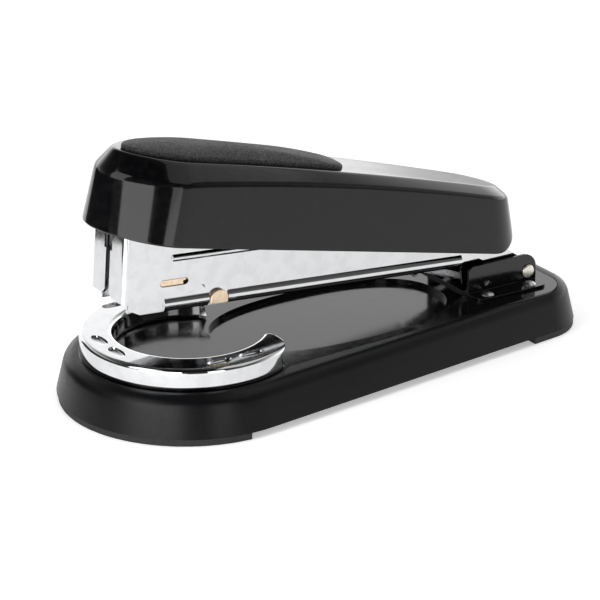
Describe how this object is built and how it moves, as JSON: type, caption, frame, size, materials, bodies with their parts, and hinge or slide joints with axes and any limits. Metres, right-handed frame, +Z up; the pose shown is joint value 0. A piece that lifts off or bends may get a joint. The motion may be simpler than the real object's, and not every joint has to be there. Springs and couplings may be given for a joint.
{
  "type": "stapler",
  "caption": "Desk stapler with a cushioned black lever handle, a chrome head and staple rail, and a C-shaped turning anvil ring on a tapered weighted base.",
  "frame": {"origin": "under the middle of the base, on the surface it stands on", "axes": "+X from the anvil end to the hinge end, +Y across, +Z up"},
  "size_m": [0.1439, 0.0658, 0.0693],
  "materials": {
    "satin_shell": "satin black",
    "gloss_enamel": "gloss black enamel",
    "gloss_handle": "gloss black",
    "soft_pad": "fine speckled matte charcoal",
    "black_rubber": "matte",
    "bright_chrome": "polished",
    "zinc_steel": "zinc plated",
    "yellow_zinc": "pale yellow zinc plating",
    "pale_pin": "pale plated pin head",
    "spring_steel": "drawn wire",
    "staple_wire": "galvanised wire",
    "dark_steel": "black oxide"
  },
  "bodies": {
    "base": {"base_shell": "satin_shell", "deck_plate": "gloss_enamel", "base_screws": "zinc_steel", "front_pad": "black_rubber", "rear_pad": "black_rubber", "hinge_bracket": "gloss_enamel", "bracket_rivets": "zinc_steel", "hinge_pin": "pale_pin", "lift_spring": "spring_steel"},
    "anvil": {"anvil_ring": "bright_chrome", "ring_studs": "zinc_steel", "ring_keeper": "zinc_steel"},
    "magazine": {"magazine_rail": "bright_chrome", "core_rail": "zinc_steel", "staple_strip": "staple_wire", "guide_rod": "zinc_steel", "spring_stop": "zinc_steel", "rail_studs": "yellow_zinc"},
    "pusher": {"pusher": "zinc_steel", "pusher_spring": "spring_steel"},
    "head": {"head_frame": "bright_chrome", "staple_guide": "yellow_zinc", "handle_pin": "zinc_steel", "press_spring": "spring_steel"},
    "driver": {"driver_blade": "dark_steel", "hammer": "dark_steel"},
    "handle": {"handle_shell": "gloss_handle", "handle_pad": "soft_pad", "press_lever": "zinc_steel", "handle_screws": "zinc_steel"}
  },
  "joints": [
    {"name": "anvil_turn", "type": "hinge", "parent": "base", "child": "anvil", "pos_m": [-0.03905, 0, 0.0117], "axis": [0, 0, 1], "range_deg": [-90, 90]},
    {"name": "magazine_press", "type": "hinge", "parent": "base", "child": "magazine", "pos_m": [0.05795, 0, 0.0148], "axis": [0, 1, 0], "range_deg": [-4.4, 0], "stiffness_Nm_per_rad": 4, "springref_deg": 6.88, "deforming": ["lift_spring"]},
    {"name": "head_open", "type": "hinge", "parent": "magazine", "child": "head", "pos_m": [0.05795, 0, 0.0148], "axis": [0, 1, 0], "range_deg": [0, 70]},
    {"name": "handle_press", "type": "hinge", "parent": "head", "child": "handle", "pos_m": [0.04494, 0, 0.02824], "axis": [0, 1, 0], "range_deg": [-4, 0], "stiffness_Nm_per_rad": 2, "springref_deg": 6.88, "deforming": ["press_spring"]},
    {"name": "driver_slide", "type": "slide", "parent": "head", "child": "driver", "axis": [-0.0767, 0, -0.9971], "range_m": [0, 0.0072]},
    {"name": "pusher_slide", "type": "slide", "parent": "magazine", "child": "pusher", "axis": [0.9971, 0, -0.0767], "range_m": [0, 0.026], "stiffness_N_per_m": 20, "springref_m": -0.05, "deforming": ["pusher_spring"]}
  ],
  "couplings": [
    {"joint": "driver_slide", "follows": "handle_press", "m_per_rad": -0.1017}
  ]
}
